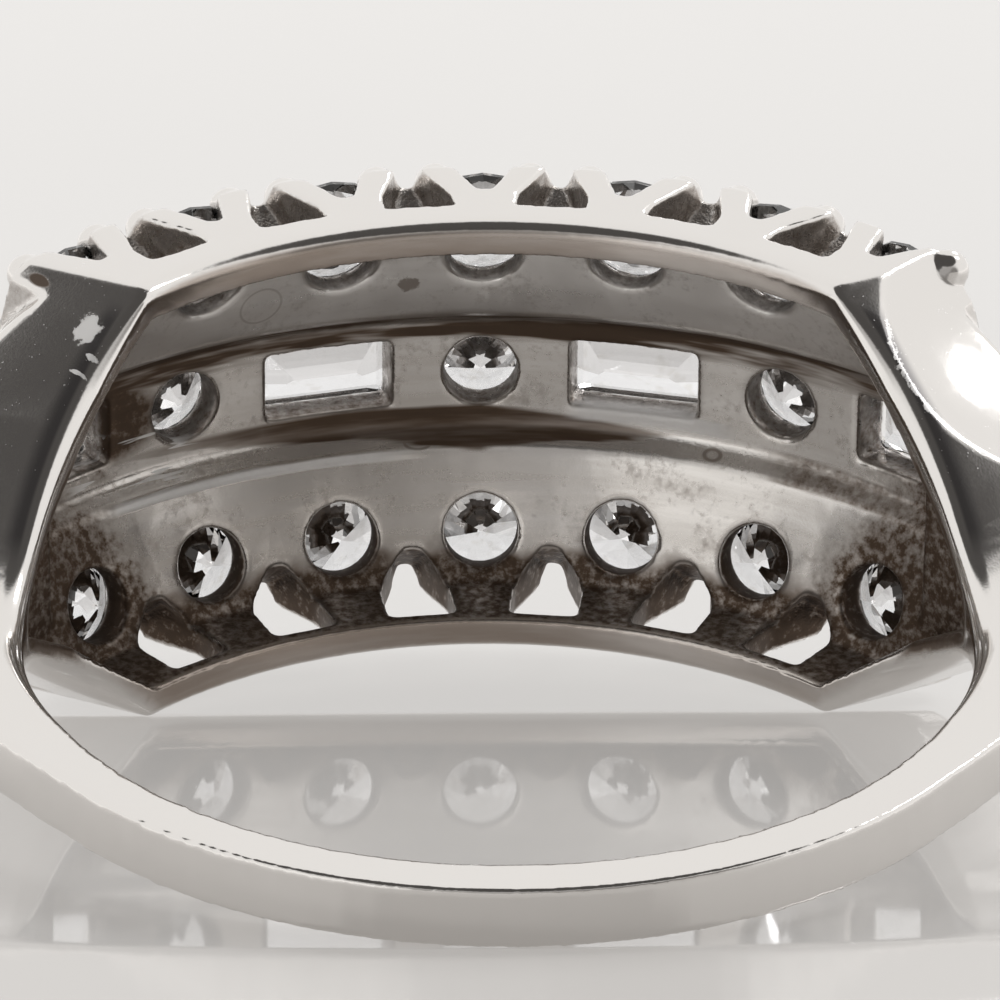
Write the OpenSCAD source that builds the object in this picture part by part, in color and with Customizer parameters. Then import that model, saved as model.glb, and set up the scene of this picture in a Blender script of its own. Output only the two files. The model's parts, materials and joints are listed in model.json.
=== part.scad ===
// Wide diamond band ring, lying on its side.
// A thin shank swells into two shoulders and a domed, hollowed head that is cut through at
// the back of every stone. Two outer rows of seven round stones sit in open fishtail
// collets, and a raised channel between them alternates baguettes and round stones. The
// upper face of the right shoulder is bevelled, as on the worn ring that it follows.
// Ring frame: the ring's axis is Z, the head points along +Y and the shank along -Y, with
// the origin at the centre of the finger hole. posed() then tilts it onto its three
// resting points: the back of the shank and the two lower corners of the head.

/* [Shank] */
// Diameter of the finger hole
hole_d = 16.9; // [15:0.1:19]
// Thickness of the shank, outwards from the finger
shank_t = 0.95; // [0.8:0.05:1.4]
// Width of the shank, along the ring's axis
shank_w = 1.14; // [1:0.02:2]

/* [Shoulders] */
// Radius of the shoulders' outer curve at the ring's middle plane
shoulder_r = 10.95; // [10.8:0.05:11.2]
// How far that curve's centre lies towards the head
shoulder_shift = 2.5; // [2.3:0.05:2.6]
// Radius of the dome across the shoulders
dome_r = 5.2; // [5:0.1:5.6]
// Turn of the creases where the shoulders taper, away from straight across
taper_turn = 27; // [20:1:32]
// Where the taper leaves the shank, measured square to those creases, before it is softened
taper_start = -3.1; // [-3.4:0.1:-3]
// Where the taper reaches the full width of the head
taper_end = 2.4; // [2.3:0.1:2.6]

/* [Head] */
// Width of the head, along the ring's axis
head_w = 8.9; // [8.8:0.05:9]
// Angle from the middle of the head to each of its ends
head_half_angle = 52.2; // [52:0.1:52.8]
// Width of the rail that runs along each edge of the finger hole
rail_w = 0.65; // [0.6:0.05:0.75]
// Depth of that rail, outwards from the finger
rail_t = 0.95; // [0.85:0.05:1]

/* [Outer rows] */
// Angle between neighbouring stones
stone_pitch = 14.8; // [14.6:0.1:14.9]
// Diameter of the round stones in the outer rows
outer_stone_d = 2.3; // [2.2:0.02:2.34]
// Angle by which their axes lean out to the sides
outer_tilt = 13; // [11:1:15]
// Radius at which the middle of their girdles sits
outer_girdle_r = 11.35; // [11.3:0.05:11.4]
// Distance of the middle of their girdles from the ring's middle plane
outer_girdle_a = 3.14; // [3.1:0.01:3.16]
// Diameter of the round openings behind them
outer_bore_d = 1.4; // [1.2:0.05:1.5]

/* [Middle row] */
// Width of the raised channel
channel_w = 3; // [2.9:0.05:3.1]
// Radius at which the girdles of the middle row sit
middle_girdle_r = 12.45; // [12.4:0.05:12.6]
// Diameter of the round stones in the middle row
middle_stone_d = 2.2; // [2.1:0.02:2.24]
// Diameter of the round openings behind them
middle_bore_d = 1.4; // [1.2:0.05:1.5]
// Length of the baguettes, around the ring
baguette_l = 3; // [2.8:0.05:3.1]
// Width of the baguettes, along the ring's axis
baguette_w = 1.8; // [1.7:0.05:1.9]
// Length of the openings behind the baguettes
window_l = 2.45; // [2.3:0.05:2.5]
// Width of those openings
window_w = 1.35; // [1.2:0.05:1.4]

/* [Hidden] */
$fn = 96;
hole_r = hole_d / 2;
shank_r = hole_r + shank_t;
shank_half = shank_w / 2;
head_half = head_w / 2;
rail_r = hole_r + rail_t;
rail_inner = head_half - rail_w;
reach = 20;
seam_lap = 1;
fit_gap = 0.03;
rows = [-1, 1];
places = [-3:3];

// Cut of the round stones, as shares of the diameter
table_share = 0.56;
crown_share = 0.15;
girdle_share = 0.03;
pavilion_share = 0.43;
star_share = 0.5;
lower_share = 0.24;
pavilion_slope = pavilion_share / 0.5;

// Cut of the baguettes
baguette_crown = 0.3;
baguette_girdle = 0.08;
baguette_pavilion = 0.82;
baguette_keel_w = 0.06;
baguette_table_inset = 0.42;
baguette_step_inset = 0.2;
baguette_crown_share = 0.62;
baguette_inset_share = 0.45;
baguette_pavilion_share = 0.56;

// Seats: the room kept clear above a stone, the depths of the openings behind it, and the
// ledge that a baguette's pavilion rests on
clear_h = 2;
outer_bore_deep = 2.5;
middle_bore_deep = 2;
ledge_deep = 0.44;

// Softer turn where the shoulders leave the shank: a circle between their two outer ones
blend_shift = shoulder_shift / 2;
blend_lift = 0.05;
blend_cos = (shank_r * shank_r + shoulder_shift * shoulder_shift - shoulder_r * shoulder_r)
  / (2 * shank_r * shoulder_shift);
blend_r = blend_lift
  + sqrt(shank_r * shank_r + blend_shift * blend_shift - 2 * shank_r * blend_shift * blend_cos);

// Soft valley where the taper leaves the shank, drawn as an arc of short flats
valley_run = 1.6;
valley_steps = 14;
taper_rise = atan2(head_half - shank_half, taper_end - taper_start);
valley_r = valley_run / tan(taper_rise / 2);

// Bevel on the upper face of the right shoulder: a large ball sunk a little into that face.
// Its middle is measured in the face, across the ring and back from the crease.
bevel_edge_r = 3.1;
bevel_across = 11.84;
bevel_back = 1.85;
bevel_lean = 24;
bevel_ball_r = bevel_edge_r / sin(bevel_lean);
bevel_lift = bevel_edge_r / tan(bevel_lean);

// Dome of the head outside, and the hollow behind it
head_lap = 0.5;
head_end_wall = 0.8;
channel_half = channel_w / 2;
channel_top_r = middle_girdle_r + 0.05;
channel_edge = 0.25;
plate_lift = 0.06;
plate_lean = 16;
hollow_lean = 22;
hollow_channel_half = 1.1;
hollow_channel_r = 11.3;
hollow_step_half = 1.4;
stone_depth = (pavilion_share + girdle_share) * outer_stone_d;
culet_r = outer_girdle_r - stone_depth * cos(outer_tilt);
culet_a = outer_girdle_a - stone_depth * sin(outer_tilt);
shoulder_hollow_r = 10.3;
shoulder_hollow_half_angle = 110;
hollow_waist = -0.3;
hollow_waist_half = 1.7;
hollow_end = -2.2;
hollow_end_half = 0.55;

// Fishtail collets, in the flat side of the head. Each gap between two of them is given
// by its half widths around the ring, and by its floor and roof from inside to outside.
gap_foot_half = 0.64;
gap_base_half = 1.15;
gap_waist_half = 0.37;
gap_waist_r = 10.6;
gap_neck_half = 0.2;
gap_neck_r = 11.15;
gap_apex_half = 0.08;
gap_apex_a = 3.1;
gap_floor_in_r = 8.75;
gap_floor_slope = (rail_r - gap_floor_in_r) / rail_w;
gap_roof_in_r = 10.15;
gap_roof_out_r = 11.3;
gap_roof_out_a = 4.15;
notch_foot_r = 10.07;
notch_foot_half = 0.12;
notch_brim_half = 0.62;
notch_brim_r = 11.2;
notch_deep = 3.95;
bead_r = 0.4;
bead_reach = 0.11;
channel_bead_r = 0.3;

// Softened edge between the side of the head and the finger hole
edge_soft = 0.3;
edge_drop = 0.17;

// The ring rests on the edge of its shank and on the lower corners of its head, where the
// creases meet that softened edge
corner_r = hole_r + edge_soft;
corner_angle = acos(taper_end / corner_r) - taper_turn;
rest_tilt = atan2(head_half - shank_half, corner_r * cos(corner_angle) + shank_r);

stone_color = "aliceblue";
metal_color = "silver";

// Radius of the head's outer face, and of the hollow behind it, at a distance from the
// ring's middle plane
function plate_r(away) =
  outer_girdle_r + plate_lift - (away - outer_girdle_a) * tan(plate_lean);
function hollow_r(away) = culet_r - (away - culet_a) * tan(hollow_lean);

module posed() {
  rotate([rest_tilt, 0, 0]) children();
}

// A sector of a solid of revolution, centred on the middle of the head
module head_sector(half_angle) {
  rotate([0, 0, 90 - half_angle]) rotate_extrude(angle = 2 * half_angle) children();
}

// Children are drawn around the ring: X across, Y outwards and Z along the ring's axis
module around(place) {
  rotate([0, 0, -place * stone_pitch]) children();
}

// A shape and its mirror image across the X axis, from the points of its upper edge
module mirrored_polygon(half) {
  polygon(concat(half, [for (i = [len(half) - 1:-1:0]) [half[i].x, -half[i].y]]));
}

// Side view of one half of the band, with the head's direction along X, and of its hollow
module side_outline() {
  valley = [for (i = [0:valley_steps]) let (a = taper_rise * i / valley_steps)
    [taper_start - valley_run + valley_r * sin(a), shank_half + valley_r * (1 - cos(a))]];
  mirrored_polygon(concat(
    [[-reach, shank_half]], valley, [[taper_end, head_half], [reach, head_half]]
  ));
}

module hollow_outline() {
  mirrored_polygon([
    [hollow_end, hollow_end_half], [hollow_waist, hollow_waist_half],
    [taper_end, rail_inner], [reach, rail_inner]
  ]);
  translate([hollow_end, 0]) circle(hollow_end_half);
}

// Cuts each half of its children to a side view, square to that half's creases
module side_view() {
  for (side = rows) {
    scale([side, 1, 1]) intersection() {
      translate([-seam_lap, -reach, -reach]) cube(2 * reach);
      rotate([0, 0, taper_turn]) rotate([90, 0, 90])
        linear_extrude(height = 2 * reach, center = true) children();
    }
  }
}

// Cross-section of the head, without its hollow
module head_section() {
  mirrored_polygon([
    [channel_top_r, channel_half - channel_edge],
    [channel_top_r - channel_edge, channel_half],
    [plate_r(channel_half), channel_half],
    [plate_r(head_half), head_half],
    [hole_r + edge_soft, head_half],
    [hole_r + edge_soft / 3, head_half - edge_drop / 3],
    [hole_r, head_half - edge_drop]
  ]);
}

// Cross-section of the hollow behind the stones
module hollow_section() {
  mirrored_polygon([
    [hollow_channel_r, hollow_channel_half],
    [hollow_r(hollow_step_half), hollow_step_half],
    [hollow_r(rail_inner), rail_inner],
    [hole_r - rail_t, rail_inner]
  ]);
}

// Shank and shoulders, before the side faces taper them
module hoop() {
  difference() {
    union() {
      cylinder(r = shank_r, h = head_w, center = true);
      translate([0, blend_shift, 0]) cylinder(r = blend_r, h = shank_w, center = true);
      translate([0, shoulder_shift, 0]) rotate_extrude() intersection() {
        translate([shoulder_r - dome_r, 0]) circle(dome_r);
        translate([0, -head_half]) square([reach, head_w]);
      }
    }
    head_sector(head_half_angle - head_lap) translate([0, -reach]) square([reach, 2 * reach]);
  }
}

module shoulder_bevel() {
  rotate([0, 0, taper_turn]) translate([bevel_across, taper_end, head_half])
    rotate([taper_rise, 0, 0]) translate([0, -bevel_back, bevel_lift]) sphere(bevel_ball_r);
}

// Hollow behind the stones, and its shallower run into the shoulders
module hollow() {
  intersection() {
    head_sector(head_half_angle - head_end_wall) hollow_section();
    side_view() hollow_outline();
  }
  intersection() {
    head_sector(shoulder_hollow_half_angle) intersection() {
      hollow_section();
      square([2 * shoulder_hollow_r, head_w], center = true);
    }
    side_view() hollow_outline();
  }
}

// Gap between two collets: a triangle seen from the side of the ring, a triangle again
// seen from inside, and a slanting way out between its floor and its roof
module collet_gap() {
  intersection() {
    linear_extrude(height = head_w) polygon([
      [-gap_base_half, hole_r], [gap_base_half, hole_r],
      [gap_waist_half, gap_waist_r],
      [gap_neck_half, gap_neck_r], [gap_neck_half, reach],
      [-gap_neck_half, reach], [-gap_neck_half, gap_neck_r],
      [-gap_waist_half, gap_waist_r]
    ]);
    rotate([90, 0, 180]) linear_extrude(height = reach) polygon([
      [-gap_apex_half, gap_apex_a], [gap_apex_half, gap_apex_a],
      [gap_foot_half, rail_inner], [gap_foot_half, head_w],
      [-gap_foot_half, head_w], [-gap_foot_half, rail_inner]
    ]);
    rotate([90, 0, 90]) linear_extrude(height = head_w, center = true) polygon([
      [gap_floor_in_r, gap_apex_a], [gap_floor_in_r, rail_inner],
      [gap_floor_in_r + (head_w - rail_inner) * gap_floor_slope, head_w], [reach, head_w],
      [reach, gap_roof_out_a], [gap_roof_out_r, gap_roof_out_a],
      [gap_roof_in_r, gap_apex_a]
    ]);
  }
}

// Notch in the side of a collet, where the girdle shows between the two tips
module collet_notch() {
  translate([0, 0, notch_deep]) linear_extrude(height = head_half) polygon([
    [-notch_foot_half, notch_foot_r], [notch_foot_half, notch_foot_r],
    [notch_brim_half, notch_brim_r], [notch_brim_half, reach],
    [-notch_brim_half, reach], [-notch_brim_half, notch_brim_r]
  ]);
}

// Places children on a stone's girdle: Z is the stone's own axis, X runs around the ring
module on_outer_seat(place, row) {
  around(place)
    translate([0, outer_girdle_r, row * outer_girdle_a])
      rotate([row * outer_tilt - 90, 0, 0]) children();
}

module on_middle_seat(place) {
  around(place) translate([0, middle_girdle_r, 0]) rotate([-90, 0, 0]) children();
}

// Room for a round stone and the bore behind it
module round_seat(stone_d, bore_d, depth) {
  seat_r = stone_d / 2 + fit_gap;
  bore_r = bore_d / 2;
  table_r = table_share * stone_d / 2 + fit_gap;
  girdle = girdle_share * stone_d + fit_gap;
  rotate_extrude() polygon([
    [0, -depth], [bore_r, -depth],
    [bore_r, -girdle - (seat_r - bore_r) * pavilion_slope],
    [seat_r, -girdle],
    [seat_r, fit_gap],
    [table_r, crown_share * stone_d + fit_gap],
    [table_r, clear_h],
    [0, clear_h]
  ]);
}

// Room for a baguette and the window behind it
module baguette_seat() {
  across = [baguette_l + 2 * fit_gap, baguette_w + 2 * fit_gap];
  translate([0, 0, -ledge_deep]) linear_extrude(height = clear_h) square(across, center = true);
  translate([0, 0, -middle_bore_deep]) linear_extrude(height = middle_bore_deep)
    square([window_l, window_w], center = true);
}

// Four beads that hold a round stone
module beads(stone_d, size) {
  for (corner = [0:3]) {
    rotate([0, 0, 45 + 90 * corner])
      translate([stone_d / 2 + bead_reach, 0, 0]) sphere(size, $fn = 48);
  }
}

// Four beads over the corners of a baguette
module corner_beads() {
  for (x = rows) {
    for (y = rows) {
      translate([x * (baguette_l / 2 - bead_reach), y * (baguette_w / 2 + bead_reach), 0])
        sphere(channel_bead_r, $fn = 48);
    }
  }
}

module all_beads() {
  for (place = places) {
    for (row = rows) {
      on_outer_seat(place, row) beads(outer_stone_d, bead_r);
    }
    if (place % 2 == 0) {
      on_middle_seat(place) beads(middle_stone_d, channel_bead_r);
    } else {
      on_middle_seat(place) corner_beads();
    }
  }
}

module seats() {
  for (place = places) {
    for (row = rows) {
      on_outer_seat(place, row) round_seat(outer_stone_d, outer_bore_d, outer_bore_deep);
    }
    if (place % 2 == 0) {
      on_middle_seat(place) round_seat(middle_stone_d, middle_bore_d, middle_bore_deep);
    } else {
      on_middle_seat(place) baguette_seat();
    }
  }
}

module gallery_cuts() {
  for (side = rows) {
    scale([1, 1, side]) {
      for (gap = [-2.5:2.5]) {
        around(gap) collet_gap();
      }
      for (place = places) {
        around(place) collet_notch();
      }
    }
  }
}

module band() {
  color(metal_color) posed() {
    difference() {
      intersection() {
        union() {
          hoop();
          difference() {
            head_sector(head_half_angle) head_section();
            gallery_cuts();
          }
        }
        side_view() side_outline();
      }
      cylinder(r = hole_r, h = reach, center = true);
      hollow();
      seats();
      shoulder_bevel();
    }
    difference() {
      all_beads();
      seats();
    }
  }
}

// Round brilliant: 8 kites, 8 stars and 16 halves on the crown, and 8 kites and 16 halves
// on the pavilion. Z is zero at the girdle's upper edge.
module brilliant(diameter) {
  girdle_r = diameter / 2;
  table_r = table_share * girdle_r;
  crown = crown_share * diameter;
  girdle = girdle_share * diameter;
  crown_slope = crown / (girdle_r - table_r);
  star_r = table_r + (girdle_r - table_r) * star_share;
  half_r = girdle_r * lower_share;
  mid = cos(22.5);
  ring = function (count, radius, height, first)
    [for (i = [0:count - 1]) let (a = first + 360 * i / count)
      [radius * cos(a), radius * sin(a), height]];
  points = concat(
    ring(8, table_r, crown, 0),
    ring(8, star_r, (girdle_r - star_r * mid) * crown_slope, 22.5),
    ring(16, girdle_r, 0, 0),
    ring(16, girdle_r, -girdle, 0),
    ring(8, half_r, -girdle - (girdle_r - half_r * mid) * pavilion_slope, 22.5),
    [[0, 0, -girdle - girdle_r * pavilion_slope]]
  );
  star = 8;
  top = 16;
  low = 32;
  half = 48;
  culet = 56;
  faces = concat(
    [[7, 6, 5, 4, 3, 2, 1, 0]],
    [for (i = [0:7]) let (n = (i + 1) % 8, p = (i + 7) % 8, g = 2 * i, h = 2 * i + 1)
      each [
        [i, n, star + i],
        [i, star + i, top + g, star + p],
        [star + i, top + h, top + g],
        [star + i, top + 2 * n, top + h],
        [half + i, low + g, low + h],
        [half + i, low + h, low + 2 * n],
        [culet, half + p, low + g, half + i]
      ]],
    [for (i = [0:15]) let (n = (i + 1) % 16) [top + i, top + n, low + n, low + i]]
  );
  polyhedron(points, faces);
}

// Step cut: two steps above the girdle and two below it, down to a keel
module baguette() {
  keel = (baguette_w - baguette_keel_w) / 2;
  level = function (inset, height)
    let (x = baguette_l / 2 - inset, y = baguette_w / 2 - inset)
      [[x, y, height], [-x, y, height], [-x, -y, height], [x, -y, height]];
  levels = [
    level(baguette_table_inset, baguette_crown),
    level(baguette_step_inset, baguette_crown * baguette_crown_share),
    level(0, 0),
    level(0, -baguette_girdle),
    level(
      keel * baguette_inset_share,
      -baguette_girdle - baguette_pavilion * baguette_pavilion_share
    ),
    level(keel, -baguette_girdle - baguette_pavilion)
  ];
  last = 4 * (len(levels) - 1);
  polyhedron(
    [for (l = levels) each l],
    concat(
      [[3, 2, 1, 0]],
      [for (l = [0:len(levels) - 2]) for (i = [0:3]) let (n = (i + 1) % 4)
        [4 * l + i, 4 * l + n, 4 * l + 4 + n, 4 * l + 4 + i]],
      [[last, last + 1, last + 2, last + 3]]
    )
  );
}

module round_outer(place, row) {
  color(stone_color) posed() on_outer_seat(place, row) brilliant(outer_stone_d);
}

module round_middle(place) {
  color(stone_color) posed() on_middle_seat(place) brilliant(middle_stone_d);
}

module baguette_middle(place) {
  color(stone_color) posed() on_middle_seat(place) baguette();
}

band();
round_outer(-3, 1);  // round_upper_1
round_outer(-2, 1);  // round_upper_2
round_outer(-1, 1);  // round_upper_3
round_outer(0, 1);  // round_upper_4
round_outer(1, 1);  // round_upper_5
round_outer(2, 1);  // round_upper_6
round_outer(3, 1);  // round_upper_7
round_outer(-3, -1);  // round_lower_1
round_outer(-2, -1);  // round_lower_2
round_outer(-1, -1);  // round_lower_3
round_outer(0, -1);  // round_lower_4
round_outer(1, -1);  // round_lower_5
round_outer(2, -1);  // round_lower_6
round_outer(3, -1);  // round_lower_7
round_middle(-2);  // round_middle_1
round_middle(0);  // round_middle_2
round_middle(2);  // round_middle_3
baguette_middle(-3);  // baguette_1
baguette_middle(-1);  // baguette_2
baguette_middle(1);  // baguette_3
baguette_middle(3);  // baguette_4
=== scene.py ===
"""Diamond band ring lying on its side on a glossy pale table.

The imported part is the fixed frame. The ring's metal is a softened, worn copy of its CAD
solid, and the stones keep their own CAD meshes. The ring's finishes are made of shader nodes
that work in its own millimetres: its axis is Z, its head is +Y, its shank is -Y and the
middle of its finger hole is the origin.
"""

import json
import logging
import math
from dataclasses import dataclass
from enum import Enum
from typing import Any

import bpy
import numpy as np
from mathutils import Euler, Matrix, Vector
from mathutils.bvhtree import BVHTree


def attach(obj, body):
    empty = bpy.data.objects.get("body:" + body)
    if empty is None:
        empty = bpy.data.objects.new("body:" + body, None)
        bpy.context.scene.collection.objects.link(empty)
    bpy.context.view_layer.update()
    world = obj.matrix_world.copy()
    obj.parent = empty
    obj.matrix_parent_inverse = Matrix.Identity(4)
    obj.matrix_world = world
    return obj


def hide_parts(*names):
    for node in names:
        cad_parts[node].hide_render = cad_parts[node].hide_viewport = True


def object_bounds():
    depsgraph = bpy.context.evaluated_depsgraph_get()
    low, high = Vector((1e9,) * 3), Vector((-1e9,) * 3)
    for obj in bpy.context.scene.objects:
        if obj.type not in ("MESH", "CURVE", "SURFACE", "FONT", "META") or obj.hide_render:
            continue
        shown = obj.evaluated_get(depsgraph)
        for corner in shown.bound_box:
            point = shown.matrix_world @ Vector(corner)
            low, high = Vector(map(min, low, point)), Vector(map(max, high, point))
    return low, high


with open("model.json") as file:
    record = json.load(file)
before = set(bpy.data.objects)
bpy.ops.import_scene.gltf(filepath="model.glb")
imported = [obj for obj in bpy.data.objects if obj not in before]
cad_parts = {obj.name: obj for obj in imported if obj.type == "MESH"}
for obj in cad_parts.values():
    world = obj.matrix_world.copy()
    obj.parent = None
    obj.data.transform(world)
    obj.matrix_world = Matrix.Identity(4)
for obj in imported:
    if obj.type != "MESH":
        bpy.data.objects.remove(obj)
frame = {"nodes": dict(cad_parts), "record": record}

CAD_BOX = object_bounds()
MM = 0.001
ROOT = "root"
HOLE_AXIS = Vector(frame["record"]["mounts"][0]["axis"])
REST_TILT = math.atan2(-HOLE_AXIS.y, HOLE_AXIS.z)
TABLE_HEIGHT = CAD_BOX[0].z
TAPER_TURN = math.radians(27)
log = logging.getLogger("ring")

Number = float | int
Colour = tuple[float, float, float]


class Zone(Enum):
    """What is noted at each point of the band's mesh, for its finish to read."""

    SHELTER = "shelter"
    INSIDE = "inside"
    WALLS = "opening_walls"
    LINING = "rail_lining"
    HEEL = "hollow_heel"


class Cut(Enum):
    """The two cuts of stone: the start of their nodes' names, and how much their finish bends light."""

    ROUND = ("round", 2.3)
    BAGUETTE = ("baguette", 1.62)


class Sock:
    """An output of a node, on which arithmetic can be written."""

    def __init__(self, bench: "Bench", out: bpy.types.NodeSocket) -> None:
        """Keeps the output and the bench that its Math nodes are added to.

        Args:
            bench: The node tree being written.
            out: The output socket.
        """
        self.bench = bench
        self.out = out

    def math(self, operation: str, *values: "Sock | Number", clamp: bool = False) -> "Sock":
        """Adds one Math node.

        Args:
            operation: The Math node's operation.
            values: Its inputs, in order.
            clamp: Whether the result is kept from 0 to 1.

        Returns:
            The node's result.
        """
        node = self.bench.node(
            "ShaderNodeMath", {"operation": operation, "use_clamp": clamp}, dict(enumerate(values))
        )
        return Sock(self.bench, node.outputs[0])

    def __add__(self, other: "Sock | Number") -> "Sock":
        """This plus the other."""
        return self.math("ADD", self, other)

    def __radd__(self, other: Number) -> "Sock":
        """The other plus this."""
        return self.math("ADD", other, self)

    def __sub__(self, other: "Sock | Number") -> "Sock":
        """This minus the other."""
        return self.math("SUBTRACT", self, other)

    def __rsub__(self, other: Number) -> "Sock":
        """The other minus this."""
        return self.math("SUBTRACT", other, self)

    def __mul__(self, other: "Sock | Number") -> "Sock":
        """This times the other."""
        return self.math("MULTIPLY", self, other)

    def __rmul__(self, other: Number) -> "Sock":
        """The other times this."""
        return self.math("MULTIPLY", other, self)

    def __truediv__(self, other: "Sock | Number") -> "Sock":
        """This divided by the other."""
        return self.math("DIVIDE", self, other)

    def __abs__(self) -> "Sock":
        """This without its sign."""
        return self.math("ABSOLUTE", self)

    def root(self) -> "Sock":
        """The square root of this."""
        return self.math("SQRT", self)

    def most(self, other: "Sock | Number") -> "Sock":
        """The larger of this and the other."""
        return self.math("MAXIMUM", self, other)

    def limited(self) -> "Sock":
        """This, kept from 0 to 1."""
        return self.math("ADD", self, 0.0, clamp=True)

    def rise(self, low: Number, high: Number) -> "Sock":
        """A soft step from 0 to 1.

        Args:
            low: The value at which the step is still 0.
            high: The value at which it reaches 1; below low, the step falls instead.

        Returns:
            The step.
        """
        node = self.bench.node(
            "ShaderNodeMapRange",
            {"interpolation_type": "SMOOTHSTEP"},
            {"Value": self, "From Min": low, "From Max": high, "To Min": 0.0, "To Max": 1.0},
        )
        return Sock(self.bench, node.outputs["Result"])

    def band(self, middle: Number, half: Number, soft: Number) -> "Sock":
        """1 in a band of values and 0 outside it.

        Args:
            middle: The middle of the band.
            half: Half its width.
            soft: The width of its soft edge.

        Returns:
            The mask.
        """
        return abs(self - middle).rise(half + soft, half)


class Bench:
    """The node tree of one finish, with one method for every kind of node."""

    def __init__(self, tree: bpy.types.NodeTree) -> None:
        """Empties the tree.

        Args:
            tree: The node tree to write into.
        """
        self.tree = tree
        tree.nodes.clear()

    def node(
        self, kind: str, settings: dict[str, Any] | None = None, values: dict[Any, Any] | None = None
    ) -> bpy.types.Node:
        """Adds a node.

        Args:
            kind: The node's type.
            settings: Its properties, set first.
            values: A value, a socket or a Sock for each input, by its name or number.

        Returns:
            The node.
        """
        node = self.tree.nodes.new(kind)
        for name, value in (settings or {}).items():
            setattr(node, name, value)
        for name, value in (values or {}).items():
            if isinstance(value, Sock):
                self.tree.links.new(value.out, node.inputs[name])
            elif isinstance(value, bpy.types.NodeSocket):
                self.tree.links.new(value, node.inputs[name])
            else:
                node.inputs[name].default_value = value
        return node

    def sock(self, node: bpy.types.Node, output: str | int = 0) -> Sock:
        """The named output of a node, ready for arithmetic."""
        return Sock(self, node.outputs[output])

    def mix(self, share: Sock, first: Any, second: Any) -> bpy.types.NodeSocket:
        """Mixes two colours.

        Args:
            share: How much of the second colour there is.
            first: The first colour or socket.
            second: The second colour or socket.

        Returns:
            The mixed colour.
        """
        rgba = [(*c, 1.0) if isinstance(c, tuple) else c for c in (first, second)]
        node = self.node(
            "ShaderNodeMix", {"data_type": "RGBA"}, {0: share, 6: rgba[0], 7: rgba[1]}
        )
        return node.outputs[2]

    def noise(self, place: Any, scale: Number, detail: Number, rough: Number = 0.55) -> Sock:
        """Cloudy noise, about 0.5 on average.

        Args:
            place: The coordinates that it is read at.
            scale: Its waves per unit of those coordinates.
            detail: How many finer octaves it has.
            rough: How strong these are.

        Returns:
            The noise.
        """
        node = self.node(
            "ShaderNodeTexNoise", {}, {"Vector": place, "Scale": scale, "Detail": detail, "Roughness": rough}
        )
        return self.sock(node)

    def bump(self, height: Sock, distance: Number, strength: Number) -> bpy.types.NodeSocket:
        """Relief too fine to be modelled.

        Args:
            height: Its height.
            distance: The height in metres that 1 stands for.
            strength: How much of it shows.

        Returns:
            The normal.
        """
        node = self.node(
            "ShaderNodeBump", {}, {"Height": height, "Distance": distance, "Strength": strength}
        )
        return node.outputs[0]


@dataclass(frozen=True)
class Mark:
    """An oval place on the ring.

    Its turn from the middle of the head and half its width are in degrees, its middle along
    its height and half that height in millimetres.
    """

    turn: float
    wide: float
    middle: float
    high: float


class RingPlace:
    """Where a point of the surface lies, in the ring's own millimetres and degrees."""

    def __init__(self, bench: Bench) -> None:
        """Adds the coordinates to a finish.

        Args:
            bench: The node tree being written.
        """
        self.bench = bench
        coordinates = bench.node("ShaderNodeTexCoord").outputs["Object"]
        turned = bench.node(
            "ShaderNodeMapping",
            {"vector_type": "POINT"},
            {"Vector": coordinates, "Rotation": (-REST_TILT, 0.0, 0.0), "Scale": (1 / MM,) * 3},
        )
        self.point = turned.outputs[0]
        split = bench.node("ShaderNodeSeparateXYZ", {}, {0: self.point})
        self.x, self.y, self.z = (bench.sock(split, i) for i in range(3))
        self.out = (self.x * self.x + self.y * self.y).root()
        self.turn = self.x.math("ARCTAN2", self.x, self.y) * (180 / math.pi)

    def lengthwise(self, squeeze: Number) -> bpy.types.NodeSocket:
        """Coordinates in which noise is drawn out around the ring.

        Args:
            squeeze: What a degree around the ring counts for.

        Returns:
            The coordinates.
        """
        parts = {0: self.turn * squeeze, 1: self.z, 2: self.out}
        return self.bench.node("ShaderNodeCombineXYZ", {}, parts).outputs[0]

    def noted(self, zone: Zone) -> Sock:
        """What the mesh notes about a point."""
        return self.bench.sock(self.bench.node("ShaderNodeAttribute", {"attribute_name": zone.value}), "Fac")

    def oval(self, mark: Mark, height: Sock) -> Sock:
        """The distance from a mark's middle, as a share of its size.

        Args:
            mark: The mark.
            height: The coordinate along which its height is measured.

        Returns:
            The distance, 1 on the mark's edge.
        """
        across = (self.turn - mark.turn) / mark.wide
        along = (height - mark.middle) / mark.high
        return (across * across + along * along).root()

    def patch(self, mark: Mark, height: Sock, wobble: Sock) -> Sock:
        """A soft mark with an uneven edge.

        Args:
            mark: The mark.
            height: The coordinate along which its height is measured.
            wobble: Noise that makes its edge uneven.

        Returns:
            The mask.
        """
        distance = self.oval(mark, height) + (wobble - 0.5) * 1.6
        return distance.rise(1.2, 0.85)


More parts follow.
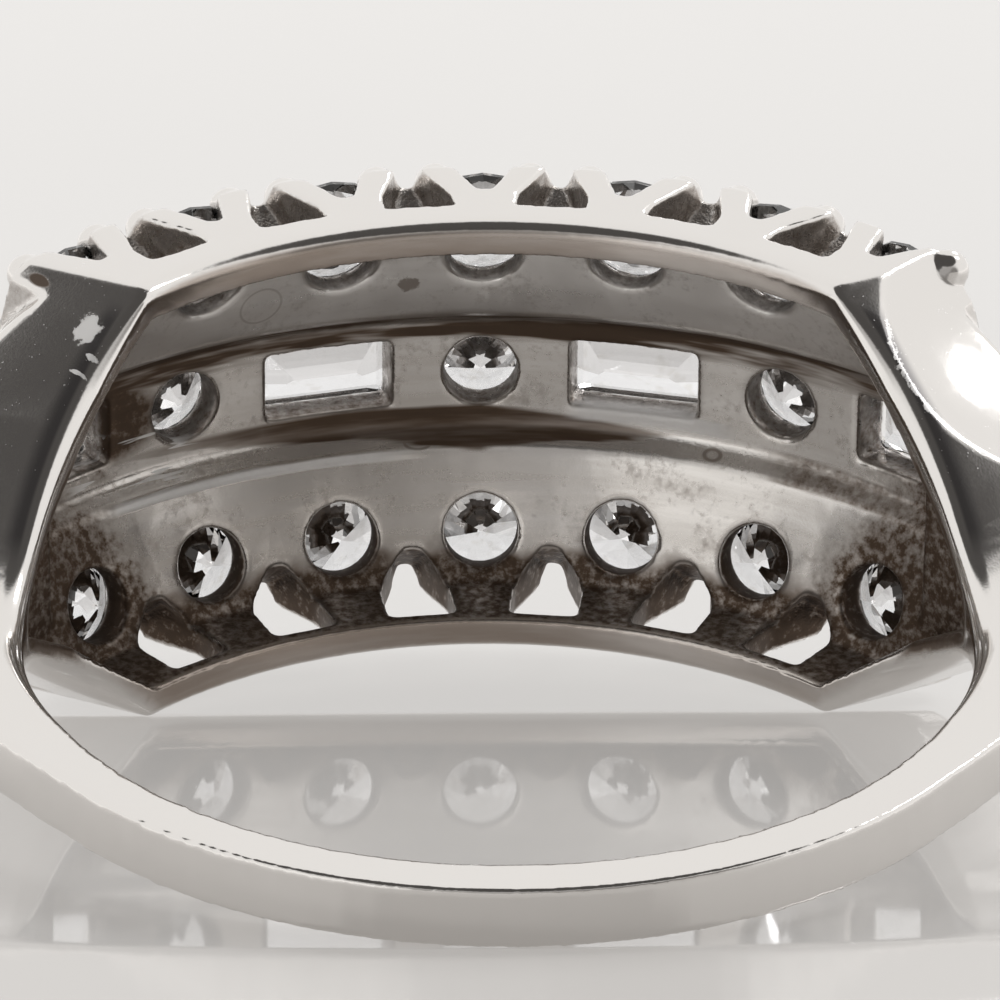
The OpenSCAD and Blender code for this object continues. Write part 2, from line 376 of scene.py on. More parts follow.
class Ground:
    """All that the metal's finish reads: places, noises and what the mesh notes."""

    def __init__(self, bench: Bench) -> None:
        """Adds them to a finish.

        Args:
            bench: The node tree being written.
        """
        self.place = RingPlace(bench)
        self.cloud = bench.noise(self.place.point, 0.9, 2.0)
        self.speck = bench.noise(self.place.point, 6.0, 3.0, 0.65)
        self.fine = bench.noise(self.place.point, 22.0, 1.0)
        self.streak = bench.noise(self.place.lengthwise(0.02), 2.4, 3.0, 0.6)
        self.shelter = self.place.noted(Zone.SHELTER)
        self.inside = self.place.noted(Zone.INSIDE)
        self.walls = self.place.noted(Zone.WALLS)
        self.lining = self.place.noted(Zone.LINING)
        self.heel = self.place.noted(Zone.HEEL)
        # Where painted shade and tarnish gather in crevices.
        self.crevice = self.shelter.rise(0.18, 0.55)
        # Painted light: the upper plate in the hollow is painted lighter, more so towards the right.
        lighter_to_right = 0.75 + self.place.turn.rise(0.0, 20.0) * 0.5
        self.lit_upper_plate = self.inside * self.place.z.rise(1.1, 1.4) * lighter_to_right


@dataclass(frozen=True)
class Platinum:
    """Cast platinum, polished where it is worn and left grainy and tarnished behind the stones, with painted
    shade in its crevices and openings, and painted light on the upper plate and beside the channel.

    Lengths are in millimetres. The polish, the satin and the grain are roughnesses.
    """

    name: str = "worn_platinum"
    bright: Colour = (0.80, 0.775, 0.75)
    soft: Colour = (0.56, 0.52, 0.48)
    lining: Colour = (0.40, 0.34, 0.295)
    # Also the colour of the painted shade in crevices and openings.
    tarnish: Colour = (0.135, 0.090, 0.060)
    # Near black, for the deepest tarnish and the painted shade of crevices.
    grime_and_crevice_shade: Colour = (0.028, 0.016, 0.010)
    # Near white, also for the painted highlights beside the channel.
    scratch_and_highlight: Colour = (0.98, 0.97, 0.96)
    shade: Colour = (0.30, 0.29, 0.30)
    polish: float = 0.12
    satin: float = 0.24
    grain: float = 0.55
    relief: float = 0.02
    relief_share: float = 0.8
    ridge: float = -1.47
    bevel_turn: float = 58.5
    bevel_bow: float = 0.0075
    bevel_rim: float = 8.80
    left_dent: Mark = Mark(-6.2, 1.35, -1.31, 0.11)
    right_dent: Mark = Mark(23.1, 0.9, -1.25, 0.08)
    drill_circle: Mark = Mark(-23.1, 2.2, 2.15, 0.42)
    pit: Mark = Mark(-7.6, 1.0, 2.22, 0.16)
    # Where rippled highlight lines are painted.
    ripple_highlight_patch: Mark = Mark(-36.0, 7.0, -0.85, 0.65)
    brown_end: Mark = Mark(-38.5, 6.0, 0.1, 0.85)
    # Where the shade of the step at the end collet's corner is painted.
    collet_step_shade: Mark = Mark(-51.3, 0.6, 10.5, 0.30)
    left_knock: Mark = Mark(-53.4, 1.45, 9.12, 0.22)
    left_nick: Mark = Mark(-55.9, 0.35, 8.76, 0.12)
    left_scratch: Mark = Mark(-57.9, 0.22, 8.86, 0.18)
    right_nick: Mark = Mark(68.0, 0.3, 9.56, 0.07)

    def make(self) -> bpy.types.Material:
        """Builds the finish.

        Returns:
            The material.
        """
        material = bpy.data.materials.new(self.name)
        material.use_nodes = True
        bench = Bench(material.node_tree)
        ground = Ground(bench)
        # Tarnish, with painted shade in crevices, on the openings' walls and at a collet's step.
        tarnish_and_shade = self._dirt_and_shade(ground)
        # Knocks and scratches, with the painted highlights beside the channel.
        dings_and_highlights = self._dings(ground).most(self._painted_highlights(ground))
        shader = bench.node(
            "ShaderNodeBsdfPrincipled",
            {},
            {
                "Base Color": self._colour(bench, ground, tarnish_and_shade, dings_and_highlights),
                "Metallic": (1.0 - tarnish_and_shade * 0.35).limited(),
                "Roughness": self._roughness(ground, tarnish_and_shade, dings_and_highlights),
                "Normal": bench.bump(self._relief(ground), self.relief * MM, self.relief_share),
            },
        )
        bench.node("ShaderNodeOutputMaterial", {}, {"Surface": shader.outputs[0]})
        return material

    def _colour(self, bench: Bench, ground: Ground, tarnish_and_shade: Sock, dings_and_highlights: Sock) -> bpy.types.NodeSocket:
        """The metal's colour, from its bare tone to the tarnish, the painted shade and light, and the
        scratches on it.

        Args:
            bench: The node tree being written.
            ground: What the finish reads.
            tarnish_and_shade: The tarnish and the painted shade.
            dings_and_highlights: The knocks and scratches, and the painted highlights on the streaks beside
                the channel.

        Returns:
            The colour.
        """
        streak = ground.streak
        # Satin streaks, darker towards the left, and the painted light of the upper plate.
        satin_and_plate_light = streak * 1.1 + ground.place.turn.rise(25.0, -30.0) * 0.35 - ground.lit_upper_plate * 0.75 - 0.15
        colour = bench.mix((ground.inside * satin_and_plate_light).limited(), self.bright, self.soft)
        colour = bench.mix(ground.lining * (streak * 0.9 + 0.45).limited(), colour, self.lining)
        colour = bench.mix(self._rim_shade(ground), colour, self.shade)
        # Tarnish and painted shade.
        colour = bench.mix((tarnish_and_shade * 1.15).limited(), colour, self.tarnish)
        # The deepest tarnish, with painted shade darkest in crevices.
        grime_and_deep_shade = tarnish_and_shade.rise(0.60, 1.10) * (0.45 + ground.crevice)
        colour = bench.mix(grime_and_deep_shade.limited(), colour, self.grime_and_crevice_shade)
        # Knocks and scratches, and the painted highlights, in near white.
        return bench.mix(dings_and_highlights * 0.9, colour, self.scratch_and_highlight)

    def _roughness(self, ground: Ground, tarnish_and_shade: Sock, dings_and_highlights: Sock) -> Sock:
        """The metal's roughness.

        Args:
            ground: What the finish reads.
            tarnish_and_shade: The tarnish and the painted shade.
            dings_and_highlights: The knocks and scratches, and the painted highlights on the streaks beside
                the channel.

        Returns:
            The roughness.
        """
        inside = ground.inside
        rough = self.polish + inside * (self.satin - self.polish) + tarnish_and_shade * (self.grain - self.satin)
        rough = rough + (ground.streak - 0.5) * inside * 0.3 + ground.lining * 0.12
        rough = rough + ground.lit_upper_plate * 0.10 + (ground.fine - 0.5) * 0.05 + dings_and_highlights * 0.45
        return rough.limited()

    def _relief(self, ground: Ground) -> Sock:
        """The metal's fine relief: grain, most of all in sheltered places, and a rib by the channel.

        Args:
            ground: What the finish reads.

        Returns:
            The height.
        """
        turn = ground.place.turn
        rib = ground.place.z.band(self.ridge, 0.02, 0.10) * turn.rise(-42.0, -37.0) * turn.rise(-4.0, -12.0)
        grain = 0.04 + ground.shelter.rise(0.10, 0.35) * 0.8
        return (ground.fine + ground.speck) * grain + rib * 2.0

    @staticmethod
    def _rim_shade(ground: Ground) -> Sock:
        """1 on the darker line that runs beside the rim on the shoulders' upper faces.

        Args:
            ground: What the finish reads.

        Returns:
            The mask.
        """
        place = ground.place
        beside = place.out.rise(8.70, 8.78) * place.out.rise(9.15, 8.85)
        on_face = abs(place.turn).rise(49.0, 52.0) * place.z.rise(1.0, 1.4) * (1.0 - ground.inside)
        return beside * on_face * 0.8

    def _dents(self, ground: Ground) -> Sock:
        """1 on the small dents, the pit and the drill's circle inside the head.

        Args:
            ground: What the finish reads.

        Returns:
            The mask.
        """
        place = ground.place
        left = place.oval(self.left_dent, place.z).band(1.0, 0.05, 0.25) * 0.6
        right = place.oval(self.right_dent, place.z).band(0.9, 0.10, 0.35) * 0.6
        circle = place.oval(self.drill_circle, place.z).band(1.0, 0.02, 0.07) * 0.3
        pit = place.patch(self.pit, place.z, ground.speck) * 0.6
        return ground.inside * left.most(right).most(circle).most(pit)

    def _painted_highlights(self, ground: Ground) -> Sock:
        """1 on the painted highlights on the streaks beside the channel: on its step, along a ridge and in
        rippled lines near its left end.

        Args:
            ground: What the finish reads.

        Returns:
            The mask.
        """
        turn = ground.place.turn
        wave = ground.place.z + (ground.streak - 0.5) * 0.25
        step = turn.band(16.5, 6.0, 3.0) * wave.rise(-1.02, -0.90) * wave.rise(-0.60, -0.66)
        ridge = wave.band(self.ridge, 0.06, 0.05) * turn.rise(-41.0, -37.0) * turn.rise(-5.0, -12.0)
        field = ground.place.oval(self.ripple_highlight_patch, ground.place.z).rise(1.2, 0.8)
        ripple_highlights = field * ground.streak.band(0.56, 0.018, 0.02)
        return (ground.inside * step.most(ridge).most(ripple_highlights) * (0.75 + ground.speck * 0.5)).limited()

    def _dirt_and_shade(self, ground: Ground) -> Sock:
        """How much tarnish lies on a point, with painted shade in crevices, on the openings' walls and at a
        collet's step.

        Args:
            ground: What the finish reads.

        Returns:
            The tarnish and painted shade, from 0 to 1.
        """
        place, cloud, speck, streak = ground.place, ground.cloud, ground.speck, ground.streak
        grain = 0.80 + (speck - 0.5) * 1.5
        deep = (-1.2 - place.z).most(0.0)
        ends = (abs(place.turn) + (cloud - 0.5) * 16 + (speck - 0.5) * 6 + deep * 4.0).rise(38.0, 50.0)
        floor = (place.z + (cloud - 0.5) * 1.0 + (speck - 0.5) * 0.4).rise(-2.95, -3.45)
        hollow = ground.inside * (ends * grain).most(self._stripes(ground)).most(floor * grain)
        mottle = ground.inside * (cloud * 0.5 + speck * 0.5).rise(0.50, 0.72) * 0.35
        # Painted shade and tarnish in crevices.
        tight = ground.inside * ground.crevice * (0.3 + speck * 0.8)
        brown_end = ground.inside * place.oval(self.brown_end, place.z).rise(1.3, 0.6) * (streak + speck)
        # Painted shade of the step at the end collet's corner, in the tarnish's brown.
        step_shade = place.patch(self.collet_step_shade, place.out, cloud) * place.z.rise(3.95, 4.05) * 0.8
        found = hollow.most(mottle).most(self._wall_dirt_and_shade(ground)).most(tight).most(brown_end).most(step_shade)
        heel = ground.heel * (0.75 + speck * 0.4)
        return found.limited().most(self._dents(ground)).most(heel)

    @staticmethod
    def _stripes(ground: Ground) -> Sock:
        """The dark stripes over and under the channel's floor, and at the step's right end.

        Args:
            ground: What the finish reads.

        Returns:
            The mask.
        """
        place, streak = ground.place, ground.streak
        wave = place.z + (streak - 0.5) * 0.35
        low = abs(place.turn) * 0.018 - 1.50
        high = place.turn.most(0.0) * -0.024 - 0.64
        strength = (0.35 + streak * 0.9).limited() * 1.1 - place.turn.rise(-14.0, -34.0) * 0.45
        under = (wave - low).rise(-0.02, 0.06) * (high - wave).rise(-0.02, 0.12) * strength
        over = wave.rise(0.52, 0.84) * wave.rise(1.36, 1.24) * (streak.rise(0.25, 0.60) * 1.15)
        right_step = place.turn.rise(26.0, 33.0) * wave.band(-1.22, 0.20, 0.08) * (ground.speck * 1.1)
        return under.most(over).most(right_step)

    @staticmethod
    def _wall_dirt_and_shade(ground: Ground) -> Sock:
        """The tarnish and painted shade on the openings' walls, least in the upper and the middle row.

        Args:
            ground: What the finish reads.

        Returns:
            The mask.
        """
        height = ground.place.z
        upper_row = height.rise(1.0, 2.0) * 0.27
        middle_row = abs(height).rise(1.3, 1.1) * 0.28
        lower_row = height.rise(1.0, -2.0) * 0.25
        return ground.walls * (0.70 + (ground.speck - 0.5) * 1.3 + lower_row - upper_row - middle_row)

    def _dings(self, ground: Ground) -> Sock:
        """1 on the knocks and scratches of the two shoulders.

        Args:
            ground: What the finish reads.

        Returns:
            The mask.
        """
        place, speck = ground.place, ground.speck
        left = place.patch(self.left_knock, place.out, speck)
        left = left.most(place.patch(self.left_nick, place.out, speck))
        left = left.most(place.patch(self.left_scratch, place.out, speck))
        across = place.turn - self.bevel_turn
        bevel_edge = across * across * self.bevel_bow + self.bevel_rim
        ragged = (place.out - bevel_edge + (speck - 0.5) * 0.5).band(0.0, 0.035, 0.03)
        ragged = ragged * place.turn.rise(52.0, 53.5) * place.turn.rise(64.0, 62.0) * speck.rise(0.42, 0.47)
        right = ragged.most(place.patch(self.right_nick, place.out, speck))
        specks = (ground.fine * 0.6 + speck * 0.4).rise(0.675, 0.70)
        specks = specks * abs(place.turn).band(58.0, 12.0, 2.0) * 0.6
        return left.most(right).most(specks) * (1.0 - ground.inside) * place.z.rise(1.2, 1.5)


@dataclass(frozen=True)
class Diamond:
    """Clear cut stone with faint smears, by its name and how much it bends light."""

    name: str
    bend: float
    clear: Colour = (0.99, 0.99, 1.0)
    film: Colour = (0.80, 0.78, 0.75)

    def make(self) -> bpy.types.Material:
        """Builds the finish.

        Returns:
            The material.
        """
        material = bpy.data.materials.new(self.name)
        material.use_nodes = True
        bench = Bench(material.node_tree)
        place = RingPlace(bench)
        smear = bench.noise(place.point, 3.0, 1.0).rise(0.60, 0.80)
        shader = bench.node(
            "ShaderNodeBsdfPrincipled",
            {},
            {
                "Base Color": bench.mix(smear, self.clear, self.film),
                "Roughness": smear * 0.06,
                "IOR": self.bend,
                "Transmission Weight": 1.0,
            },
        )
        bench.node("ShaderNodeOutputMaterial", {}, {"Surface": shader.outputs[0]})
        return material


@dataclass(frozen=True)
class TableTop:
    """Pale glossy table that gives a soft mirror image and a little light of its own."""

    name: str = "pale_table"
    colour: Colour = (0.345, 0.34, 0.335)
    shade: Colour = (0.335, 0.33, 0.325)
    glow: Colour = (0.295, 0.285, 0.275)
    glow_shade: Colour = (0.285, 0.275, 0.265)
    gloss: float = 1.8

    def make(self) -> bpy.types.Material:
        """Builds the finish.

        Returns:
            The material.
        """
        material = bpy.data.materials.new(self.name)
        material.use_nodes = True
        bench = Bench(material.node_tree)
        place = bench.node("ShaderNodeTexCoord").outputs["Object"]
        cloud = bench.noise(place, 30.0, 1.0)
        shader = bench.node(
            "ShaderNodeBsdfPrincipled",
            {},
            {
                "Base Color": bench.mix(cloud, self.colour, self.shade),
                "Roughness": 0.02 + cloud * 0.04,
                "IOR": self.gloss,
                "Emission Color": bench.mix(cloud, self.glow, self.glow_shade),
                "Emission Strength": 1.0,
            },
        )
        bench.node("ShaderNodeOutputMaterial", {}, {"Surface": shader.outputs[0]})
        return material


@dataclass
class Camera:
    """The camera, where the photograph was taken from. Lengths are in millimetres, angles in radians."""

    distance: float = 159.6421
    down: float = 0.2308
    swing: float = 0.0321
    roll: float = 0.0018
    aim: tuple[float, float, float] = (0.0174, 0.0, 2.8426)
    lens: float = 324.0
    sensor: float = 36.0
    nearest: float = 5.0
    farthest: float = 20000.0

    def place(self) -> None:
        """Adds the camera and makes it the scene's own."""
        ahead = Vector((
            math.sin(self.swing) * math.cos(self.down),
            math.cos(self.swing) * math.cos(self.down),
            -math.sin(self.down),
        ))
        level = Vector((math.cos(self.swing), -math.sin(self.swing), 0.0))
        upright = level.cross(ahead)
        right = math.cos(self.roll) * level + math.sin(self.roll) * upright
        up = math.cos(self.roll) * upright - math.sin(self.roll) * level
        data = bpy.data.cameras.new("camera")
        data.lens = self.lens
        data.sensor_width = self.sensor
        data.clip_start = self.nearest * MM
        data.clip_end = self.farthest * MM
        data.dof.use_dof = False
        camera = bpy.data.objects.new("camera", data)
        bpy.context.scene.collection.objects.link(camera)
        turn = Matrix((right, up, -ahead)).transposed().to_4x4()
        camera.matrix_world = Matrix.Translation((Vector(self.aim) - self.distance * ahead) * MM) @ turn
        bpy.context.scene.camera = camera
        log.info("camera: %.0f mm away", self.distance)


@dataclass(frozen=True)
class Field:
    """A soft field of another tone in the room, round one direction.

    It reaches to the first angle and is even up to the second, both in degrees.
    """

    way: tuple[float, float, float]
    reach: float
    core: float
    tone: Colour


@dataclass(frozen=True)
class Panel:
    """A soft panel light that faces the ring: where it stands, its size in metres and its watts."""

    name: str
    place: tuple[float, float, float]
    size: tuple[float, float]
    power: float


@dataclass
class Studio:
    """The table and the soft lights round it. Lengths are in metres."""

    table_half: float = 3.0
    white: Colour = (0.96, 0.95, 0.935)
    panels: tuple[Panel, ...] = (
        Panel("back_light", (0.22, 0.44, 0.36), (0.12, 0.12), 0.22),
        Panel("right_light", (0.30, 0.10, 0.40), (0.10, 0.14), 0.30),
    )
    fields: tuple[Field, ...] = (
        Field((0.0, -1.0, 0.05), 62.0, 20.0, (0.40, 0.39, 0.38)),
        Field((-0.64, -0.77, 0.05), 26.0, 14.0, (1.0, 0.99, 0.97)),
        Field((0.50, -0.86, 0.05), 28.0, 12.0, (0.24, 0.23, 0.22)),
        Field((0.02, -0.34, 0.84), 38.0, 31.0, (0.080, 0.076, 0.073)),
    )

    def build(self) -> None:
        """Adds the table, the lights and the surrounding tone."""
        bpy.ops.object.select_all(action="DESELECT")
        bpy.ops.mesh.primitive_plane_add(size=2 * self.table_half, location=(0.0, 0.0, TABLE_HEIGHT))
        table = bpy.context.object
        table.name = "table"
        settle(table)
        table.data.materials.append(TableTop().make())
        for panel in self.panels:
            self._light(panel)
        self._surroundings()
        log.info("table and %d lights", len(self.panels))

    @staticmethod
    def _light(panel: Panel) -> None:
        """Adds a panel light.

        Args:
            panel: The light.
        """
        data = bpy.data.lights.new(panel.name, "AREA")
        data.shape = "RECTANGLE"
        data.size, data.size_y = panel.size
        data.energy = panel.power
        light = bpy.data.objects.new(panel.name, data)
        light.location = panel.place
        light.rotation_euler = (-Vector(panel.place)).to_track_quat("-Z", "Y").to_euler()
        bpy.context.scene.collection.objects.link(light)

    def _surroundings(self) -> None:
        """Gives the room a plain pale tone, with soft darker fields that the metal mirrors."""
        world = bpy.data.worlds.new("room")
        world.use_nodes = True
        bpy.context.scene.world = world
        bench = Bench(world.node_tree)
        way = bench.node("ShaderNodeTexCoord").outputs["Generated"]
        tone: Any = self.white
        for field in self.fields:
            toward = {0: way, 1: Vector(field.way).normalized()}
            dot = bench.node("ShaderNodeVectorMath", {"operation": "DOT_PRODUCT"}, toward)
            edge = (math.cos(math.radians(field.reach)), math.cos(math.radians(field.core)))
            tone = bench.mix(bench.sock(dot, "Value").rise(*edge), tone, field.tone)
        light = bench.node("ShaderNodeBackground", {}, {"Color": tone, "Strength": 1.0})
        bench.node("ShaderNodeOutputWorld", {}, {"Surface": light.outputs[0]})
        bpy.context.scene.view_settings.view_transform = "Standard"


def ramp(value: np.ndarray, low: float, high: float) -> np.ndarray:
    """A soft step for arrays, as Sock.rise gives for sockets.

    Args:
        value: The values.
        low: The value at which the step is still 0.
        high: The value at which it reaches 1; below low, the step falls instead.

    Returns:
        The step at each value.
    """
    share = np.clip((value - low) / (high - low), 0.0, 1.0)
    return share * share * (3.0 - 2.0 * share)


def settle(piece: bpy.types.Object) -> None:
    """Puts a piece's place into its mesh, so that its object sits at the origin.

    Args:
        piece: The piece.
    """
    only(piece)
    bpy.ops.object.transform_apply(location=True, rotation=True, scale=True)


def only(piece: bpy.types.Object) -> None:
    """Selects one piece and makes it the active one.

    Args:
        piece: The piece.
    """
    bpy.ops.object.select_all(action="DESELECT")
    piece.select_set(True)
    bpy.context.view_layer.objects.active = piece


def finish_modifier(piece: bpy.types.Object, kind: str, **settings: Any) -> None:
    """Adds a modifier to a piece and applies it.

    Args:
        piece: The piece.
        kind: The modifier's type.
        settings: Its properties.
    """
    only(piece)
    modifier = piece.modifiers.new(kind.lower(), kind)
    for name, value in settings.items():
        setattr(modifier, name, value)
    bpy.ops.object.modifier_apply(modifier=modifier.name)


class RingPoints:
    """Where the points of a mesh lie, in the ring's own millimetres and degrees."""

    def __init__(self, piece: bpy.types.Object) -> None:
        """Reads the points.

        Args:
            piece: The object whose mesh is read.
        """
        flat = np.empty(3 * len(piece.data.vertices))
        piece.data.vertices.foreach_get("co", flat)
        self.upright = np.array(Matrix.Rotation(-REST_TILT, 3, "X")) / MM
        self.places = flat.reshape(-1, 3) @ self.upright.T
        self.x, self.y, self.z = self.places.T
        self.out = np.hypot(self.x, self.y)
        self.away = np.abs(self.z)
        self.turn = np.degrees(np.arctan2(self.x, self.y))
        self.wide = np.abs(self.turn)
        self.along = self.y * math.cos(TAPER_TURN) - np.abs(self.x) * math.sin(TAPER_TURN)

    def give(self, piece: bpy.types.Object) -> None:
        """Writes changed places back.

        Args:
            piece: The object whose mesh takes them.
        """
        piece.data.vertices.foreach_set("co", (self.places @ np.linalg.inv(self.upright).T).ravel())
        piece.data.update()


@dataclass
class Casting:
    """The ring's metal: shank, shoulders and hollowed head, worn soft at every edge.

    Lengths are in millimetres and turns in degrees from the middle of the head. The sizes of
    the solid are those of its CAD source, and the falls say how much smaller a radius gets
    with each millimetre away from the ring's middle plane.
    """

    node: str = "band"
    name: str = "worn_band"
    grain: float = 0.05
    quick_grain: float = 0.085
    passes: int = 22
    most_triangles: int = 190000
    skew: tuple[float, float, float] = (0.55, 0.35, 0.80)
    merge: float = 1e-4
    sliver: float = 1e-3
    rays: int = 26
    shelter_reach: float = 1.4
    shelter_lift: float = 0.02
    shelter_graze: float = 0.15
    hole: float = 8.45
    rim: float = 0.46
    rim_turns: tuple[float, float, float, float] = (44.0, 58.0, 92.0, 122.0)
    shank_half: float = 0.57
    head_half: float = 4.45
    taper_start: float = -3.1
    taper_end: float = 2.4
    valley_run: float = 1.6
    valley_steps: int = 12
    rail_inner: float = 3.8
    waist: float = -0.3
    waist_half: float = 1.7
    hollow_end: float = -2.2
    hollow_end_half: float = 0.55
    dome: float = 11.55
    dome_fall: float = 0.42
    hollow: float = 11.49
    hollow_fall: float = 0.404
    plate: float = 12.31
    plate_fall: float = 0.287
    step_half: float = 1.4
    channel_half: float = 1.1
    channel: float = 11.3
    channel_top: float = 12.4
    left_end: float = -52.2
    right_end: float = 48.0

    def build(self) -> bpy.types.Object:
        """Copies the CAD solid, softens its edges and gives it its finish.

        Returns:
            The piece that stands for the CAD solid.
        """
        solid = frame["nodes"][self.node]
        piece = bpy.data.objects.new(self.name, solid.data.copy())
        bpy.context.scene.collection.objects.link(piece)
        self._close(piece, self.merge)
        self._soften(piece)
        self._note_zones(piece)
        piece.data.materials.clear()
        piece.data.materials.append(Platinum().make())
        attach(piece, ROOT)
        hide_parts(self.node)
        log.info("%s: %d faces", piece.name, len(piece.data.polygons))
        return piece

    @staticmethod
    def _close(piece: bpy.types.Object, reach: float) -> None:
        """Joins a piece's triangles into one closed skin, and drops what is left loose.

        Args:
            piece: The piece.
            reach: How near two points are that become one.
        """
        only(piece)
        bpy.ops.object.mode_set(mode="EDIT")
        bpy.ops.mesh.select_all(action="SELECT")
        bpy.ops.mesh.remove_doubles(threshold=reach * MM)
        bpy.ops.mesh.delete_loose(use_verts=True, use_edges=True, use_faces=True)
        bpy.ops.object.mode_set(mode="OBJECT")

    def _soften(self, piece: bpy.types.Object) -> None:
        """Rounds every edge a little, then thins the mesh and keeps the smooth shading.

        The mesh is turned askew while it is remeshed, so that no edge runs along the grid.

        Args:
            piece: The closed copy of the band.
        """
        askew = Euler(self.skew).to_matrix().to_4x4()
        piece.data.transform(askew)
        grain = self.grain
        passes = self.passes
        finish_modifier(piece, "REMESH", mode="VOXEL", voxel_size=grain * MM, adaptivity=0.0)
        finish_modifier(piece, "SMOOTH", factor=0.5, iterations=passes)
        piece.data.transform(askew.inverted())
        self._round_rim(piece)
        bpy.ops.object.shade_smooth()
        triangles = sum(len(p.vertices) - 2 for p in piece.data.polygons)
        if triangles <= self.most_triangles:
            return
        smooth = bpy.data.objects.new("smooth_band", piece.data.copy())
        bpy.context.scene.collection.objects.link(smooth)
        finish_modifier(piece, "DECIMATE", ratio=self.most_triangles / triangles)
        self._close(piece, self.sliver)
        bpy.ops.object.shade_smooth()
        finish_modifier(
            piece,
            "DATA_TRANSFER",
            object=smooth,
            use_loop_data=True,
            data_types_loops={"CUSTOM_NORMAL"},
            loop_mapping="POLYINTERP_NEAREST",
        )
        bpy.data.objects.remove(smooth)

    def _round_rim(self, piece: bpy.types.Object) -> None:
        """Wears the edges of the finger hole round.

        Args:
            piece: The softened band.
        """
        ring = RingPoints(piece)
        side = self._side(ring)
        wear = np.interp(ring.wide, self.rim_turns, (0.0, self.rim, self.rim, 0.0))
        across = ring.out - self.hole - wear
        inward = side - ring.away - wear
        far = np.hypot(across, inward)
        worn = (across < 0) & (inward < 0) & (far > wear)
        share = np.where(worn, wear / np.maximum(far, 1e-9), 1.0)
        new_out = self.hole + wear + across * share
        new_z = np.sign(ring.z) * (side - wear - inward * share)
        ring.places[worn, :2] *= (new_out / ring.out)[worn, None]
        ring.places[worn, 2] = new_z[worn]
        ring.give(piece)

    def _side(self, ring: RingPoints) -> np.ndarray:
        """The band's half width at each point, from the side view of its upper edge.

        The edge is the shank's, then an arc that makes a soft valley, then the straight taper.

        Args:
            ring: Where the points lie.

        Returns:
            The half widths.
        """
        bend = math.atan2(self.head_half - self.shank_half, self.taper_end - self.taper_start)
        radius = self.valley_run / math.tan(bend / 2)
        start = self.taper_start - self.valley_run
        angles = [bend * step / self.valley_steps for step in range(self.valley_steps + 1)]
        along = [start + radius * math.sin(angle) for angle in angles]
        half = [self.shank_half + radius * (1 - math.cos(angle)) for angle in angles]
        return np.interp(ring.along, along + [self.taper_end], half + [self.head_half])

    def _hollow_half(self, ring: RingPoints) -> np.ndarray:
        """The hollow's half width at each point, which narrows into the shoulders.

        Args:
            ring: Where the points lie.

        Returns:
            The half widths.
        """
        head_slope = (self.rail_inner - self.waist_half) / (self.taper_end - self.waist)
        end_slope = (self.waist_half - self.hollow_end_half) / (self.waist - self.hollow_end)
        in_head = self.waist_half + (ring.along - self.waist) * head_slope
        in_shoulder = self.hollow_end_half + (ring.along - self.hollow_end) * end_slope
        return np.minimum(np.maximum(in_head, in_shoulder), self.rail_inner)

    def _note_zones(self, piece: bpy.types.Object) -> None:
        """Notes which part of the ring each point of the mesh belongs to.

        Args:
            piece: The softened band.
        """
        ring = RingPoints(piece)
        noted = {
            Zone.SHELTER: self._shelter(piece),
            Zone.INSIDE: self._inside(ring, self._facing(piece)),
            Zone.WALLS: self._walls(ring),
            Zone.LINING: self._lining(ring),
            Zone.HEEL: self._heel(ring),
        }
        for zone, values in noted.items():
            piece.data.attributes.new(zone.value, "FLOAT", "POINT").data.foreach_set("value", values)

    def _inside(self, ring: RingPoints, facing: np.ndarray) -> np.ndarray:
        """1 in the hollow behind the stones, on what faces the finger.

        Args:
            ring: Where the points lie.
            facing: How far they face out of the ring.

        Returns:
            The mask.
        """
        under_dome = ramp(ring.out - self.dome + ring.away * self.dome_fall, 0.45, 0.1)
        between_rails = ramp(self._hollow_half(ring) - ring.away, -0.10, 0.02)
        above_rail = ramp(ring.out - self.hole, 0.01, 0.15)
        return under_dome * between_rails * above_rail * ramp(facing, 0.65, 0.35)

    def _walls(self, ring: RingPoints) -> np.ndarray:
        """1 on the walls of the openings behind the stones and of the gaps in the side faces.

        Args:
            ring: Where the points lie.

        Returns:
            The mask.
        """
        below_plate = ramp(self.plate - ring.away * self.plate_fall - ring.out, -0.02, 0.08)
        above_hollow = ramp(ring.out - self.hollow + ring.away * self.hollow_fall, 0.04, 0.12)
        outer_rows = ramp(ring.away - self.step_half, -0.05, 0.05) * above_hollow * below_plate
        in_channel = ramp(ring.out - self.channel, 0.03, 0.10) * ramp(ring.out - self.channel_top, 0.0, -0.1)
        middle_row = ramp(ring.away - self.channel_half, 0.1, 0.0) * in_channel
        gaps = ramp(ring.away - self.rail_inner, 0.02, 0.1) * ramp(ring.out, 8.8, 8.9) * below_plate
        walls = np.maximum(np.maximum(outer_rows, middle_row), gaps)
        walls *= ramp(self._side(ring) - ring.away, 0.05, 0.12)
        walls *= ramp(ring.turn - self.left_end, -0.2, 0.2)
        return walls * ramp(ring.turn - self.right_end, 0.4, -0.4)

    def _lining(self, ring: RingPoints) -> np.ndarray:
        """1 on the two rails' face towards the finger, short of their worn edge.

        Args:
            ring: Where the points lie.

        Returns:
            The mask.
        """
        near_finger = ramp(ring.out - self.hole, 0.15, 0.05)
        worn = ramp(ring.wide, 40.0, 60.0) * self.rim * 0.7
        short_of_edge = ramp(self._side(ring) - ring.away - worn, 0.08, 0.18)
        along_head = ramp(ring.wide - np.minimum(ring.z, 0.0) * 4.0, 72.0, 60.0)
        paler_right = 1.0 - ramp(ring.turn, 5.0, 25.0) * 0.4
        return near_finger * short_of_edge * along_head * paler_right

    def _heel(self, ring: RingPoints) -> np.ndarray:
        """1 on the end of the hollow, where it runs out into the shoulders.

        Args:
            ring: Where the points lie.

        Returns:
            The mask.
        """
        near_finger = ramp(ring.out - self.hole, 0.19, 0.09)
        between_edges = ramp(self._hollow_half(ring) + 0.30 - ring.away, -0.08, 0.08)
        return near_finger * ramp(ring.wide, 60.0, 66.0) * between_edges

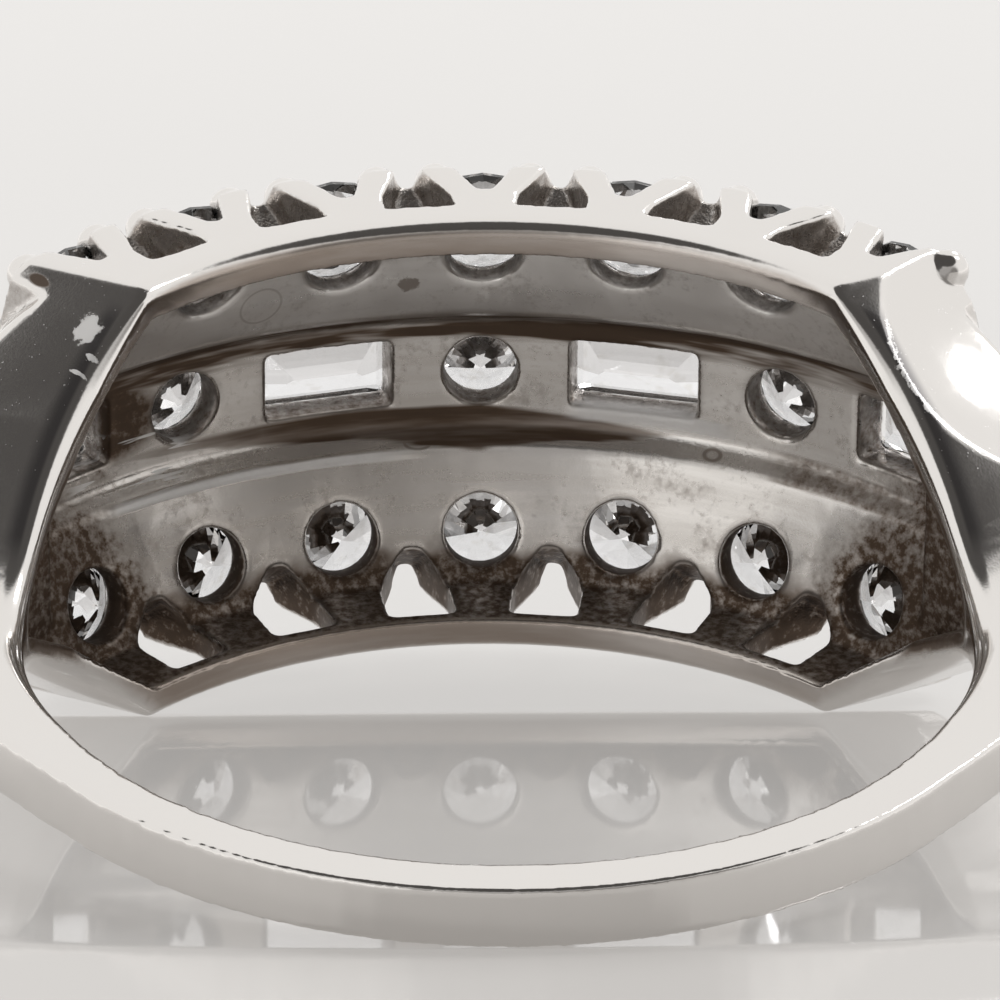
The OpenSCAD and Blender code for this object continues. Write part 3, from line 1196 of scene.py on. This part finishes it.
    @staticmethod
    def _facing(piece: bpy.types.Object) -> np.ndarray:
        """How far each point of a piece faces out of the ring, from -1 to 1.

        Args:
            piece: The piece.

        Returns:
            The share of each normal that points away from the ring's axis.
        """
        facing = np.empty(len(piece.data.vertices))
        for index, vertex in enumerate(piece.data.vertices):
            outward = vertex.co - HOLE_AXIS * vertex.co.dot(HOLE_AXIS)
            facing[index] = vertex.normal.dot(outward.normalized())
        return facing

    def _shelter(self, piece: bpy.types.Object) -> list[float]:
        """How enclosed each point is, sheltered from rubbing and from light, for the grain, the tarnish and
        the painted crevice shade to follow.

        Args:
            piece: The softened band.

        Returns:
            The shelter of each point, from 0 to 1.
        """
        mesh = piece.data
        tree = BVHTree.FromPolygons([v.co for v in mesh.vertices], [p.vertices for p in mesh.polygons])
        rays = [self._sphere_way(i) for i in range(self.rays)]
        reach = self.shelter_reach * MM
        values: list[float] = []
        for vertex in mesh.vertices:
            start = vertex.co + vertex.normal * (self.shelter_lift * MM)
            facing = [ray for ray in rays if ray.dot(vertex.normal) > self.shelter_graze]
            closed = 0.0
            for ray in facing:
                distance = tree.ray_cast(start, ray, reach)[3]
                if distance is not None:
                    closed += 1.0 - distance / reach
            values.append(closed / max(len(facing), 1))
        return values

    def _sphere_way(self, index: int) -> Vector:
        """One of a set of directions spread evenly over a sphere.

        Args:
            index: Its number.

        Returns:
            The direction.
        """
        height = 1.0 - 2.0 * (index + 0.5) / self.rays
        turn = index * math.pi * (3.0 - math.sqrt(5.0))
        across = math.sqrt(1.0 - height * height)
        return Vector((across * math.cos(turn), across * math.sin(turn), height))


@dataclass
class Stones:
    """All stones of one cut, which keep their CAD meshes."""

    cut: Cut

    def dress(self) -> None:
        """Gives every stone of this cut its finish."""
        kind, bend = self.cut.value
        finish = Diamond(f"{kind}_diamond", bend).make()
        for name in sorted(frame["nodes"]):
            if name.startswith(kind):
                stone = frame["nodes"][name]
                stone.data.materials.clear()
                stone.data.materials.append(finish)
                log.info("%s: %d faces", name, len(stone.data.polygons))


def main() -> None:
    """Builds the picture, from the camera to the stones."""
    logging.basicConfig(level=logging.INFO, format="%(message)s")
    Camera().place()
    Studio().build()
    Casting().build()
    for cut in Cut:
        Stones(cut).dress()


if __name__ == "__main__":
    main()
